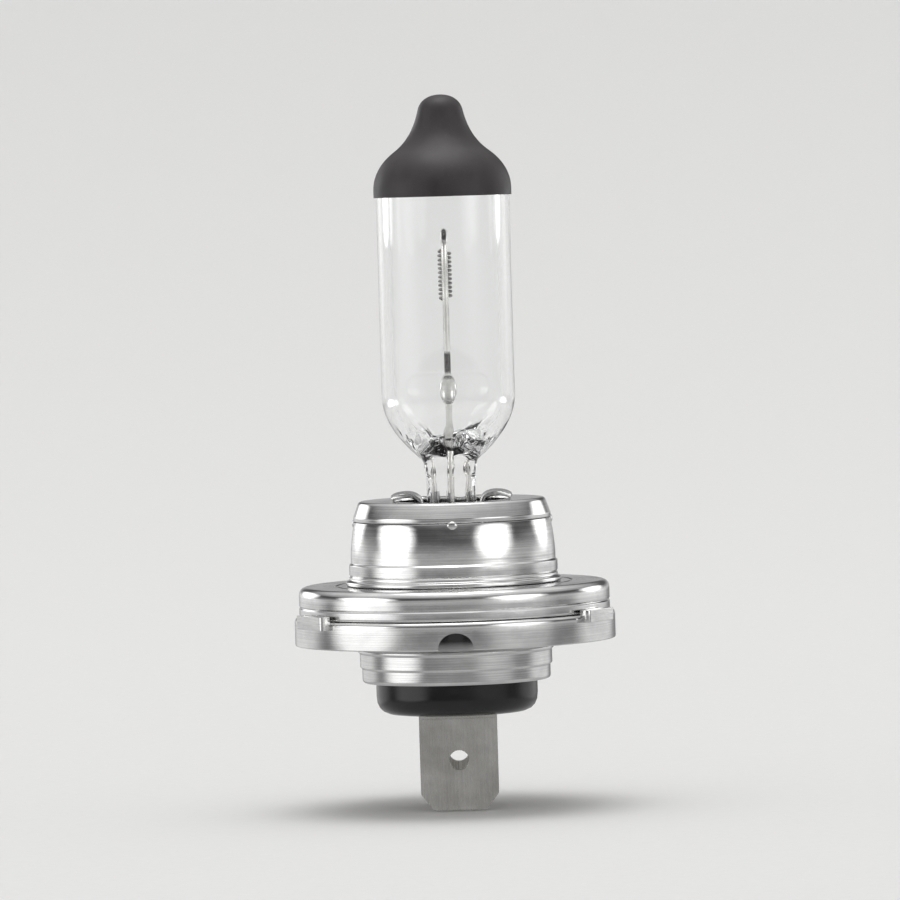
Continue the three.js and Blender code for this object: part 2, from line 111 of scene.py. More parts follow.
def rounded(corners, closed=True):
    """Rounds an outline of (r, z, corner radius) and returns its points."""
    points = [Vector(corner[:2]) for corner in corners]
    outline = []
    count = len(points)
    for i, corner in enumerate(corners):
        at_end = not closed and i in (0, count - 1)
        if at_end or corner[2] == 0:
            outline.append(points[i])
            continue
        before = points[i - 1] - points[i]
        after = points[(i + 1) % count] - points[i]
        opening = before.angle(after)
        room = MOST_OF_HALF * min(before.length, after.length)
        reach = min(corner[2] / math.tan(opening / 2), room)
        start = points[i] + before.normalized() * reach
        end = points[i] + after.normalized() * reach
        for step in range(ARC_STEPS + 1):
            t = step / ARC_STEPS
            outline.append(start * (1 - t) ** 2 + points[i] * 2 * t * (1 - t) + end * t**2)
    return outline


def turned(outline, closed=True, segments=ROUND):
    """Turns an (r, z) outline round Z. An outline that isn't closed starts and ends on the axis."""
    bm = bmesh.new()
    rings = []
    for r, z in outline:
        if r < ON_AXIS:
            rings.append([bm.verts.new((0, 0, z))] * segments)
            continue
        rings.append([bm.verts.new((r * math.cos(a), r * math.sin(a), z)) for a in angles(segments)])
    join_rings(bm, rings, closed)
    bmesh.ops.recalc_face_normals(bm, faces=bm.faces)
    return bm


def join_rings(bm, rings, closed):
    """Faces between each ring and the next, and from the last to the first if closed."""
    count = len(rings)
    for i in range(count if closed else count - 1):
        low, high = rings[i], rings[(i + 1) % count]
        segments = len(low)
        for j in range(segments):
            k = (j + 1) % segments
            corners = list(dict.fromkeys([low[j], low[k], high[k], high[j]]))
            if len(corners) > 2:
                bm.faces.new(corners)


def bezier(*controls, steps=12):
    """Points of a cubic curve in the (r, z) plane."""
    flat = [Vector((r, z, 0)) for r, z in controls]
    return [point.xy for point in interpolate_bezier(*flat, steps)]


def tube(points, radius, sides=16, flatten=None):
    """A round wire through the points. flatten(t) gives its (along X, across X) scale at t from 0 to 1."""
    bm = bmesh.new()
    path = [Vector(point) for point in points]
    side = Vector((1, 0, 0))
    rings = []
    for i, point in enumerate(path):
        ahead = path[min(i + 1, len(path) - 1)]
        behind = path[max(i - 1, 0)]
        along = (ahead - behind).normalized()
        side = (side - along * side.dot(along)).normalized()
        other = along.cross(side)
        wide, deep = flatten(i / (len(path) - 1)) if flatten else (1, 1)
        ring = []
        for angle in angles(sides):
            across = side * math.cos(angle) * wide + other * math.sin(angle) * deep
            ring.append(bm.verts.new(point + across * radius))
        rings.append(ring)
    join_rings(bm, rings, closed=False)
    bm.faces.new(rings[0])
    bm.faces.new(rings[-1])
    bmesh.ops.recalc_face_normals(bm, faces=bm.faces)
    return bm


def smooth_path(controls, steps=10):
    """A Catmull-Rom curve through the controls."""
    points = [Vector(point) for point in controls]
    padded = [2 * points[0] - points[1], *points, 2 * points[-1] - points[-2]]
    path = []
    for i in range(1, len(padded) - 2):
        a, b, c, d = padded[i - 1 : i + 3]
        for step in range(steps):
            t = step / steps
            path.append(
                0.5 * (2 * b + (c - a) * t + (2 * a - 5 * b + 4 * c - d) * t**2
                       + (3 * b - a - 3 * c + d) * t**3)
            )
    return [*path, points[-1]]


def prism(outline, depth, to_world):
    """Extrudes a flat (u, v) outline by depth along its normal, then moves it by to_world."""
    bm = bmesh.new()
    face = bm.faces.new([bm.verts.new((u, v, 0)) for u, v in outline])
    lifted = bmesh.ops.extrude_face_region(bm, geom=[face])["geom"]
    moved = [item for item in lifted if isinstance(item, bmesh.types.BMVert)]
    bmesh.ops.translate(bm, vec=(0, 0, depth), verts=moved)
    bmesh.ops.recalc_face_normals(bm, faces=bm.faces)
    bm.transform(to_world)
    return bm


def softened(bm, width):
    """Rounds the sharp edges of a closed mesh."""
    sharp = [edge for edge in bm.edges if edge.calc_face_angle(0) > EDGE_ANGLE]
    bmesh.ops.bevel(
        bm, geom=sharp, offset=width, segments=3, profile=0.5, affect="EDGES", clamp_overlap=True
    )
    return bm


def scratch(bm):
    """A temporary object from a bmesh, for a boolean."""
    mesh = bpy.data.meshes.new("scratch")
    bm.to_mesh(mesh)
    bm.free()
    thing = bpy.data.objects.new("scratch", mesh)
    bpy.context.scene.collection.objects.link(thing)
    return thing


def combine(bm, tools, operation, bevel=0.0):
    """Cuts or joins the tools, and rounds the sharp edges that are left."""
    target = scratch(bm)
    cutters = [scratch(tool) for tool in tools]
    for cutter in cutters:
        modifier = target.modifiers.new("combine", "BOOLEAN")
        modifier.operation = operation
        modifier.object = cutter
        modifier.solver = "EXACT"
    if bevel:
        edge = target.modifiers.new("edge", "BEVEL")
        edge.width = bevel
        edge.segments = 2
        edge.limit_method = "ANGLE"
        edge.angle_limit = EDGE_ANGLE
        edge.use_clamp_overlap = True
    depsgraph = bpy.context.evaluated_depsgraph_get()
    result = bmesh.new()
    result.from_object(target, depsgraph)
    bmesh.ops.dissolve_degenerate(result, dist=SLIVER, edges=result.edges)
    for thing in [target, *cutters]:
        bpy.data.objects.remove(thing, do_unlink=True)
    return result


def smoothstep(x, low, high):
    """Goes smoothly from 0 at low to 1 at high."""
    t = min(max((x - low) / (high - low), 0), 1)
    return t * t * (3 - 2 * t)


# ---- Materials ---------------------------------------------------------------------------------------


def add_node(tree, kind, inputs=(), **settings):
    """Adds a shader node. Each input is a constant or another node's output."""
    made = tree.nodes.new(kind)
    for key, value in settings.items():
        setattr(made, key, value)
    for key, value in dict(inputs).items():
        if isinstance(value, bpy.types.NodeSocket):
            tree.links.new(value, made.inputs[key])
        else:
            made.inputs[key].default_value = value
    return made


MIX_INPUTS = (0, 6, 7)  # the factor and the two colours of a Mix node


class Paint:
    """A Principled material and the nodes that feed it. Lengths are in millimetres."""

    def __init__(self, name, **constants):
        self.material = bpy.data.materials.new(name)
        self.material.use_nodes = True
        self.tree = self.material.node_tree
        self.shader = self.tree.nodes["Principled BSDF"]
        for socket, value in constants.items():
            label = socket.replace("_", " ").title().replace("Ior", "IOR")
            self.shader.inputs[label].default_value = value
        self.coordinates = self.add("ShaderNodeTexCoord").outputs["Object"]

    def add(self, kind, inputs=(), **settings):
        return add_node(self.tree, kind, inputs, **settings)

    def stretched(self, x, y, z):
        """Object coordinates scaled so that one unit is 1/x, 1/y and 1/z millimetres."""
        scale = (x / MM, y / MM, z / MM)
        return self.add("ShaderNodeMapping", {"Vector": self.coordinates, "Scale": scale}).outputs["Vector"]

    def lathe_space(self, per_mm):
        """Coordinates that run quickly with radius and height, and slowly round the axis."""
        parts = self.add("ShaderNodeSeparateXYZ", {"Vector": self.coordinates}).outputs
        level = self.add("ShaderNodeCombineXYZ", {"X": parts["X"], "Y": parts["Y"]}).outputs["Vector"]
        radius = self.add("ShaderNodeVectorMath", {0: level}, operation="LENGTH").outputs["Value"]
        drift = self.noise(self.stretched(0.12, 0.12, 0.12), 2)
        outwards = self.math("MULTIPLY", radius, per_mm / MM)
        upwards = self.math("MULTIPLY", parts["Z"], per_mm / MM)
        wander = self.math("MULTIPLY", drift, 3)
        inputs = {"X": outwards, "Y": wander, "Z": upwards}
        return self.add("ShaderNodeCombineXYZ", inputs).outputs["Vector"]

    def height(self):
        """Height above the reference plane, in millimetres."""
        return self.add("ShaderNodeSeparateXYZ", {"Vector": self.stretched(1, 1, 1)}).outputs["Z"]

    def noise(self, vector, detail):
        inputs = {"Vector": vector, "Scale": 1, "Detail": detail, "Roughness": 0.55}
        return self.add("ShaderNodeTexNoise", inputs).outputs["Fac"]

    def math(self, operation, *values):
        return self.add("ShaderNodeMath", dict(enumerate(values)), operation=operation).outputs["Value"]

    def spread(self, value, low, high, to_low, to_high):
        inputs = {"Value": value, "From Min": low, "From Max": high, "To Min": to_low, "To Max": to_high}
        return self.add("ShaderNodeMapRange", inputs).outputs["Result"]

    def blend(self, factor, first, second):
        colours = [(*colour, 1) if isinstance(colour, tuple) else colour for colour in (first, second)]
        inputs = zip(MIX_INPUTS, (factor, *colours))
        return self.add("ShaderNodeMix", inputs, data_type="RGBA").outputs[2]

    def feed(self, socket, value):
        self.tree.links.new(value, self.shader.inputs[socket])

    def relief(self, *layers):
        """Each layer is (height, strength, depth in mm)."""
        normal = None
        for height, strength, depth in layers:
            inputs = {"Height": height, "Strength": strength, "Distance": depth * MM}
            if normal:
                inputs["Normal"] = normal
            normal = self.add("ShaderNodeBump", inputs).outputs["Normal"]
        self.feed("Normal", normal)


NICKEL = (0.86, 0.86, 0.85)
WORN_NICKEL = (0.6, 0.6, 0.6)
# painted shade colour, for the can's wall under the flange's skirt
PAINTED_SHADE = (0.09, 0.09, 0.09)
# painted dark reflection colour, for a band on a lead
PAINTED_DARK_REFLECTION = (0.1, 0.096, 0.096)


def quartz_material():
    """Drawn quartz: clear, with faint draw lines along the tube and handling haze."""
    paint = Paint("quartz_glass", base_color=(0.985, 0.992, 0.99, 1), transmission_weight=1.0, ior=1.458)
    haze = paint.noise(paint.stretched(0.35, 0.35, 0.2), 4)
    paint.feed("Roughness", paint.spread(haze, 0.45, 0.8, 0.0, 0.035))
    draw_lines = paint.noise(paint.stretched(0.8, 0.8, 0.03), 3)
    paint.relief((draw_lines, 0.12, 0.05))
    return paint.material


def coating_material():
    """Baked opaque coating: dark warm grey, matte, dipped by hand so slightly uneven."""
    paint = Paint("glare_coating")
    cloud = paint.noise(paint.stretched(0.5, 0.5, 0.35), 5)
    speck = paint.noise(paint.stretched(7, 7, 7), 3)
    thin, thick, dusty = (0.026, 0.022, 0.023), (0.043, 0.036, 0.038), (0.075, 0.068, 0.068)
    tone = paint.blend(paint.spread(cloud, 0.3, 0.7, 0, 1), thin, thick)
    paint.feed("Base Color", paint.blend(paint.spread(speck, 0.62, 0.75, 0, 0.5), tone, dusty))
    paint.feed("Roughness", paint.spread(cloud, 0.3, 0.7, 0.42, 0.6))
    paint.relief((cloud, 0.25, 0.08), (speck, 0.3, 0.012))
    return paint.material


def turned_metal(name, light, dark, smooth, rough, lines, painted_shade_above=None):
    """Pressed and plated sheet: fine lines from the drawing die round the axis, smears and small pits.

    Above a given height in mm, the colour is painted near black: painted shade where the flange's skirt
    keeps the light off the can.
    """
    paint = Paint(name, metallic=1.0)
    rubbed = paint.noise(paint.lathe_space(lines), 3)
    smear = paint.noise(paint.stretched(0.3, 0.3, 0.45), 4)
    pits = paint.noise(paint.stretched(5, 5, 5), 2)
    worn = paint.math("MULTIPLY", smear, rubbed)
    tone = paint.blend(paint.spread(worn, 0.12, 0.4, 0, 1), dark, light)
    # painted shade: near black above the given height, for the shadow under the flange's skirt
    if painted_shade_above is not None:
        shade_mask = paint.spread(paint.height(), painted_shade_above - 0.25, painted_shade_above + 0.5, 0, 1)
        tone = paint.blend(shade_mask, tone, PAINTED_SHADE)
    paint.feed("Base Color", tone)
    paint.feed("Roughness", paint.spread(smear, 0.3, 0.75, smooth, rough))
    paint.relief((rubbed, 0.1, 0.014), (pits, 0.12, 0.008), (smear, 0.2, 0.05))
    return paint.material


def strip_metal(name, light, dark, smooth, rough, grain, painted_dark_band=None):
    """Rolled or drawn metal whose grain runs along Z.

    Between the two heights given last, in mm, its colour is darkened: a painted dark reflection.
    """
    paint = Paint(name, metallic=1.0)
    rolled = paint.noise(paint.stretched(grain, grain, grain / 25), 4)
    blotch = paint.noise(paint.stretched(0.5, 0.5, 0.5), 4)
    tone = paint.blend(paint.spread(blotch, 0.3, 0.7, 0, 1), dark, light)
    # painted reflection: the colour goes dark between the two heights
    if painted_dark_band:
        middle, reach = (painted_dark_band[0] + painted_dark_band[1]) / 2, (painted_dark_band[1] - painted_dark_band[0]) / 2
        off_centre = paint.math("ABSOLUTE", paint.math("SUBTRACT", paint.height(), middle))
        tone = paint.blend(paint.spread(off_centre, reach - 0.3, reach, 1, 0), tone, PAINTED_DARK_REFLECTION)
    paint.feed("Base Color", tone)
    paint.feed("Roughness", paint.spread(rolled, 0.3, 0.7, smooth, rough))
    paint.relief((rolled, 0.12, 0.012))
    return paint.material


def plastic_material():
    """Glass-filled moulded plastic: black, semi-gloss, with flow marks and fine grain."""
    paint = Paint("black_plastic")
    flow = paint.noise(paint.stretched(0.35, 0.35, 1.1), 4)
    grain = paint.noise(paint.stretched(9, 9, 9), 2)
    tone = paint.blend(paint.spread(flow, 0.3, 0.7, 0, 1), (0.005, 0.005, 0.006), (0.011, 0.011, 0.012))
    paint.feed("Base Color", tone)
    paint.feed("Roughness", paint.spread(flow, 0.3, 0.7, 0.1, 0.22))
    paint.relief((grain, 0.1, 0.006), (flow, 0.15, 0.04))
    return paint.material


def floor_material():
    """Matt paper with a fine grain."""
    paint = Paint("pale_floor", specular_ior_level=0)
    grain = paint.noise(paint.stretched(1.5, 1.5, 1.5), 3)
    paint.feed("Base Color", paint.blend(grain, (0.745, 0.743, 0.737), (0.785, 0.783, 0.777)))
    paint.feed("Roughness", paint.spread(grain, 0.3, 0.7, 0.8, 0.9))
    return paint.material


QUARTZ = quartz_material()
COATING = coating_material()
PLATED = turned_metal("plated_steel", NICKEL, WORN_NICKEL, 0.07, 0.2, 9)
# the top of the can's wall is painted dark as shade under the flange
PLATED_CAN = turned_metal("plated_steel_can", NICKEL, WORN_NICKEL, 0.08, 0.2, 9, painted_shade_above=-2.75)
SPRING = turned_metal("spring_steel", (0.72, 0.72, 0.71), (0.48, 0.48, 0.48), 0.12, 0.3, 14)
TUNGSTEN = strip_metal("tungsten", (0.36, 0.35, 0.33), (0.2, 0.195, 0.19), 0.3, 0.5, 20)
# the leads are painted dark between 19 and 20.95 mm: a painted dark reflection
MOLYBDENUM = strip_metal(
    "molybdenum", (0.82, 0.81, 0.79), (0.55, 0.54, 0.53), 0.12, 0.28, 14, painted_dark_band=(19.0, 20.95)
)
FOIL = strip_metal("sealing_foil", (0.42, 0.42, 0.44), (0.26, 0.26, 0.28), 0.15, 0.35, 8)
TINNED = strip_metal("tinned_metal", (0.76, 0.75, 0.72), (0.58, 0.57, 0.54), 0.18, 0.36, 7)
PLASTIC = plastic_material()


# ---- Capsule -----------------------------------------------------------------------------------------

glass_low, glass_high = size_mm("glass_envelope")
tube_radius = glass_high.x
tip_z = glass_high.z
pinch_bottom = glass_low.z
coat_low, coat_high = size_mm("glare_coating")

SHOULDER_Z = tip_z - 7.45
COLLAPSE_TOP = 17.3
COLLAPSE_BOTTOM = 12.0
PINCH_X = 2.1
PINCH_Y = 5.3
PINCH_CORNER = 1.5
RECESS_DEPTH = 0.85  # pressed into each broad face of the pinch, between its edge beads
RECESS_TOP = 11.6
RECESS_REACH = 4.3  # half of its width
CAVITY_FLOOR = 12.2
WALL = 1.05


def dome(start_z):
    """The capsule's outer outline from start_z up to the top of its exhaust tip."""
    neck, tip = (3.75, tip_z - 4.55), (1.65, tip_z - 1.15)
    rise = bezier((tube_radius, SHOULDER_Z), (tube_radius, SHOULDER_Z + 1.2), (4.7, neck[1] - 0.7), neck)
    flare = bezier(neck, (2.8, neck[1] + 0.7), (2.05, tip[1] - 1.7), tip)
    cap = bezier(tip, (1.5, tip_z - 0.35), (0.8, tip_z), (0, tip_z))
    return [Vector((tube_radius, start_z)), *rise, *flare[1:], *cap[1:]]


def rectangle_point(turn, half_x, half_y, corner):
    """A point on a rounded rectangle, at the same share of its way round as turn is of a circle's."""
    quarter = turn % (math.pi / 2)
    mirrored = int(turn / (math.pi / 2)) % 2 == 1
    share = quarter / (math.pi / 2)
    share = 1 - share if mirrored else share
    side, arc, end = half_y - corner, corner * math.pi / 2, half_x - corner
    along = share * (side + arc + end)
    if along < side:
        x, y = half_x, along
    elif along < side + arc:
        bend = (along - side) / corner
        x, y = half_x - corner + corner * math.cos(bend), side + corner * math.sin(bend)
    else:
        x, y = end - (along - side - arc), half_y
    return math.copysign(x, math.cos(turn)), math.copysign(y, math.sin(turn))


def pressed(bm, radius, half_x, half_y, corner):
    """Flattens a turned tube below COLLAPSE_TOP as the sealing jaws do."""
    for vert in bm.verts:
        depth = (COLLAPSE_TOP - vert.co.z) / (COLLAPSE_TOP - COLLAPSE_BOTTOM)
        share = min(max(depth, 0), 1) ** 2
        reach = vert.co.xy.length
        if share == 0 or reach < ON_AXIS:
            continue
        turn = math.atan2(vert.co.y, vert.co.x) % (2 * math.pi)
        flat = Vector(rectangle_point(turn, half_x, half_y, corner)) * reach / radius
        vert.co.xy = vert.co.xy.lerp(flat, share)


def rumpled(bm, depth):
    """Leaves the waves and lumps of glass that was soft when it was pressed, from the pinch to the tube."""
    for vert in bm.verts:
        z = vert.co.z
        amount = depth * (0.3 + 0.7 * smoothstep(z, 10.2, 11.8)) * (1 - smoothstep(z, 13.2, 15.5))
        if amount:
            vert.co += noise.noise_vector(vert.co * 0.75) * amount
            vert.co += noise.noise_vector(vert.co * 2.1) * amount * 0.4


def capsule():
    """Outer and inner surfaces of the quartz, with the recess that the jaws leave in the pinch."""
    level_step = 0.18
    core = 1  # anything nearer the pinch's middle plane than this isn't on a broad face
    count = int((COLLAPSE_TOP - pinch_bottom) / level_step)
    levels = [pinch_bottom + level_step * i for i in range(count)]
    foot = [Vector((0, pinch_bottom)), Vector((tube_radius - 0.35, pinch_bottom))]
    wall = [Vector((tube_radius, z)) for z in levels[1:]]
    outer = turned([*foot, *wall, *dome(COLLAPSE_TOP)], closed=False)
    pressed(outer, tube_radius, PINCH_X, PINCH_Y, PINCH_CORNER)
    for vert in outer.verts:
        if abs(vert.co.x) <= core:
            continue
        below = 1 - smoothstep(vert.co.z, RECESS_TOP - 0.7, RECESS_TOP)
        above = smoothstep(vert.co.z, pinch_bottom + 0.4, pinch_bottom + 1)
        middle = 1 - smoothstep(abs(vert.co.y), RECESS_REACH - 0.6, RECESS_REACH)
        vert.co.x -= math.copysign(RECESS_DEPTH * below * above * middle, vert.co.x)
    rumpled(outer, 0.07)

    inner_radius = tube_radius - WALL
    side, bottom = (inner_radius, 13.6), (2.9, CAVITY_FLOOR)
    floor = bezier((0, CAVITY_FLOOR), bottom, side, (inner_radius, 16.8), steps=24)
    roof = bezier((inner_radius, SHOULDER_Z), (inner_radius, 35.6), (3.2, 36.7), (0, 37))
    inner = turned([*floor, *roof], closed=False)
    pressed(inner, inner_radius, 1.7, inner_radius, 1.4)
    rumpled(inner, 0.22)
    bmesh.ops.reverse_faces(inner, faces=inner.faces)
    hollow = bpy.data.meshes.new("hollow")
    inner.to_mesh(hollow)
    inner.free()
    outer.from_mesh(hollow)
    bpy.data.meshes.remove(hollow)
    piece = place("quartz_capsule", outer, QUARTZ, "quartz_glass", "glass_envelope", sharp_degrees=60)
    piece.visible_shadow = False


def coating():
    """The coating follows the dome as a shell of even thickness."""
    inside = dome(coat_low.z)
    gap, thick = 0.02, coat_high.x - tube_radius - 0.02
    outline = []
    for i, point in enumerate(inside):
        along = (inside[min(i + 1, len(inside) - 1)] - inside[max(i - 1, 0)]).normalized()
        normal = Vector((along.y, -along.x))
        outline.append((point + normal * gap, point + normal * thick))
    near = [pair[0] for pair in outline]
    far = [pair[1] for pair in outline]
    near[-1].x = far[-1].x = 0
    bm = turned([*far[::-1], *near], closed=False)
    place("tip_coating", bm, COATING, "glare_coating", "glare_coating")


# ---- Filament and leads ------------------------------------------------------------------------------

coil_low, coil_high = size_mm("filament")
long_low, long_high = size_mm("long_lead")
short_low, short_high = size_mm("short_lead")
LEAD_RADIUS = (long_high.x - long_low.x) / 2
LEAD_Y = -long_low.y - LEAD_RADIUS
hook_z = long_high.z - LEAD_RADIUS
short_end_z = short_high.z - LEAD_RADIUS
COIL_BOTTOM = 25.0
COIL_LENGTH = 4.1
COIL_TURNS = 12
WIRE_RADIUS = 0.1


def filament():
    """The coil and its two straight legs, in one wire."""
    coil_radius = coil_high.x - WIRE_RADIUS
    coil_top = COIL_BOTTOM + COIL_LENGTH
    steps = 24 * COIL_TURNS
    points = [(0, 0, coil_low.z), (0, 0, COIL_BOTTOM - 1), (0, 0, COIL_BOTTOM - 0.35)]
    for i in range(steps + 1):
        turn = i / steps
        ends = min(turn, 1 - turn) * COIL_TURNS
        opened = smoothstep(ends, 0, 0.6)
        angle = 2 * math.pi * COIL_TURNS * turn
        lift = math.copysign(0.3 * (1 - opened), turn - 0.5)
        radius = coil_radius * opened
        z = COIL_BOTTOM + COIL_LENGTH * turn + lift
        points.append((radius * math.cos(angle), radius * math.sin(angle), z))
    points += [(0, 0, coil_top + 0.35), (0, 0, coil_top + 1), (0, 0, coil_high.z)]
    bm = tube(points, WIRE_RADIUS, sides=10)
    place("coil", bm, TUNGSTEN, "tungsten", "filament", sharp_degrees=70)


def pinched_end(t):
    """A lead is round until its last stretch, which is pressed onto the filament's leg."""
    press = smoothstep(t, 0.9, 0.98)
    return 1 + 0.25 * press, 1 - 0.3 * press


def inner_leads():
    """The long lead, which hooks over the coil, and the short one, which bends in below it."""
    upper = [(long_low.z, -LEAD_Y), (14, -LEAD_Y), (20, -LEAD_Y), (26, -LEAD_Y), (28.8, -LEAD_Y)]
    hook = [(hook_z - 0.7, -2.2), (hook_z - 0.15, -1.5), (hook_z, -0.7), (hook_z, -0.12)]
    path = smooth_path([(0, y, z) for z, y in upper + hook])
    wire = tube(path, LEAD_RADIUS, flatten=pinched_end)
    place("hooked_lead", wire, MOLYBDENUM, "molybdenum", "long_lead")

    lower = [(short_low.z, LEAD_Y), (13, LEAD_Y), (17, LEAD_Y), (19, LEAD_Y)]
    bend = [
        (short_end_z - 0.9, 2.1), (short_end_z - 0.2, 1.4), (short_end_z, 0.7), (short_end_z, 0.12),
    ]
    path = smooth_path([(0, y, z) for z, y in lower + bend])
    wire = tube(path, LEAD_RADIUS, flatten=pinched_end)
    place("bent_lead", wire, MOLYBDENUM, "molybdenum", "short_lead")


def bridge():
    """The quartz bead that holds both leads: a rod with swollen ends where it was melted on."""
    low, high = size_mm("quartz_bridge")
    half = (high - low) / 2
    middle = (high + low) / 2
    bm = bmesh.new()
    rings = []
    steps, sides = 48, 32
    thickest = 0.66  # of the way from the middle to either end
    for i in range(steps + 1):
        share = -math.cos(math.pi * i / steps)
        end = math.sqrt(max(1 - abs(share) ** 8, 0))
        swell = 0.9 + 0.1 * math.cos(math.pi * (abs(share) - thickest) / thickest)
        size = end * swell
        y = middle.y + half.y * share
        if size < 1e-4:
            rings.append([bm.verts.new((0, y, middle.z))] * sides)
            continue
        wide, tall = half.x * size, half.z * size
        rings.append([
            bm.verts.new((wide * math.cos(a), y, middle.z + tall * math.sin(a))) for a in angles(sides)
        ])
    join_rings(bm, rings, closed=False)
    bmesh.ops.recalc_face_normals(bm, faces=bm.faces)
    piece = place("bridge_bead", bm, QUARTZ, "quartz_glass", "quartz_bridge", sharp_degrees=80)
    piece.visible_shadow = False


def foil(name, node):
    """A foil is thickest in its middle and feathered along both edges, with slight rolled ripples."""
    low, high = size_mm(node)
    middle = (low + high) / 2
    rows, columns = 40, 14
    bm = bmesh.new()
    rings = []
    for i in range(rows + 1):
        z = low.z + (high.z - low.z) * i / rows
        face, back = [], []
        for j in range(columns + 1):
            across = 2 * j / columns - 1
            y = middle.y + across * (high.y - low.y) / 2
            thick = (high.x - low.x) / 2 * (1.05 - across**2)
            ripple = 0.012 * math.sin(z * 5.2 + across * 2)
            face.append(bm.verts.new((middle.x + thick + ripple, y, z)))
            back.append(bm.verts.new((middle.x - thick + ripple, y, z)))
        rings.append(face + back[::-1])
    join_rings(bm, rings, closed=False)
    bm.faces.new(rings[0])
    bm.faces.new(rings[-1])
    bmesh.ops.recalc_face_normals(bm, faces=bm.faces)
    place(name, bm, FOIL, "sealing_foil", node)


def outer_lead(name, node, side):
    """A wire from a foil down to its blade, with a bend inside the base."""
    low, high = size_mm(node)
    near = min(abs(low.y), abs(high.y)) + LEAD_RADIUS
    far = max(abs(low.y), abs(high.y)) - LEAD_RADIUS
    controls = [
        (high.z, near), (4, near), (2.6, near), (1.9, near + 0.15),
        (0.7, (near + far) / 2 + 0.3), (-0.1, far), (low.z, far),
    ]
    path = smooth_path([(0, side * y, z) for z, y in controls])
    place(name, tube(path, LEAD_RADIUS), MOLYBDENUM, "molybdenum", node)


# ---- Metal base --------------------------------------------------------------------------------------


def base_can():
    """The drawn can, with a rolled bead round its middle and a lower stretch that is a little narrower."""
    low, high = size_mm("base_can")
    wall = high.x - 0.15
    inside = wall - 0.4
    lip = 6.95
    bead = -3.25
    band = wall - 0.16
    corners = [
        (lip, low.z, 0.18), (band, low.z, 0.55), (band, low.z + 1.15, 0.1),
        (wall, low.z + 1.3, 0.06), (wall, bead - 0.22, 0.1), (high.x, bead - 0.08, 0.08),
        (high.x, bead + 0.08, 0.08), (wall, bead + 0.22, 0.1), (wall, high.z, 0.12),
        (inside, high.z, 0.12), (inside, low.z + 0.42, 0.5), (lip, low.z + 0.4, 0.15),
    ]
    place("can", turned(rounded(corners)), PLATED_CAN, "plated_steel", "base_can")


def pilot_ring():
    """The upper tier, with a groove round its wall and another in its top."""
    low, high = size_mm("pilot_ring")
    sheet, bore = 0.5, 8.0
    line = 0.45  # the groove's height on the wall
    groove = high.x - 3.05  # the other groove's radius on the top
    corners = [
        (high.x - 0.04, low.z, 0.12), (high.x, low.z + 0.2, 0.1), (high.x, line - 0.12, 0.05),
        (high.x - 0.09, line, 0.05), (high.x, line + 0.12, 0.05), (high.x, high.z, 0.9),
        (groove + 0.15, high.z, 0.1), (groove, high.z - 0.09, 0.1), (groove - 0.15, high.z, 0.1),
        (bore, high.z, 0.12), (bore, high.z - sheet, 0.12), (high.x - sheet, high.z - sheet, 0.5),
        (high.x - sheet, low.z, 0.12),
    ]
    place("pilot", turned(rounded(corners)), PLATED, "plated_steel", "pilot_ring")


NOTCH_TOP = -1.25


def flange_ring():
    """The lower tier with its three lugs, and the arched notch in the front of the rim."""
    low, high = size_mm("flange_ring")
    outer = size_mm("pilot_ring")[1].x
    rim, top, sheet, bore = 13.0, -0.4, 0.5, 8.0
    corners = [
        (rim, low.z, 0.1), (rim, NOTCH_TOP + 0.1, 0), (rim, top, 0.45), (bore, top, 0.12),
        (bore, top - sheet, 0.12), (rim - sheet, top - sheet, 0.3), (rim - sheet, low.z, 0.1),
    ]
    ring = turned(rounded(corners), segments=FINE_ROUND)
    lug_in, lug_out = outer + 0.15, high.y
    width, bottom = 4.2, top - 0.6
    lugs = []
    for degrees in (90, 210, 330):
        outline = rounded([
            (lug_in, -width / 2, 0.05), (lug_out, -width / 2, 0.35),
            (lug_out, width / 2, 0.35), (lug_in, width / 2, 0.05),
        ])
        turn = Matrix.Rotation(math.radians(degrees), 4, "Z")
        lugs.append(softened(prism(outline, -bottom, turn @ Matrix.Translation((0, 0, bottom))), 0.08))
    half, side = 1.4, low.z + 0.2
    arch = [(-half, low.z - 1), (half, low.z - 1), (half, side)]
    arch += [(half * math.cos(a), side + (NOTCH_TOP - side) * math.sin(a)) for a in angles(32)[1:16]]
    arch += [(-half, side)]
    forward = Matrix.Translation((0, -rim + 1.2, 0)) @ UPRIGHT
    with_lugs = combine(ring, lugs, "UNION")
    body = combine(with_lugs, [prism(arch, 3, forward)], "DIFFERENCE")
    place("flange", body, PLATED, "plated_steel", "flange_ring")


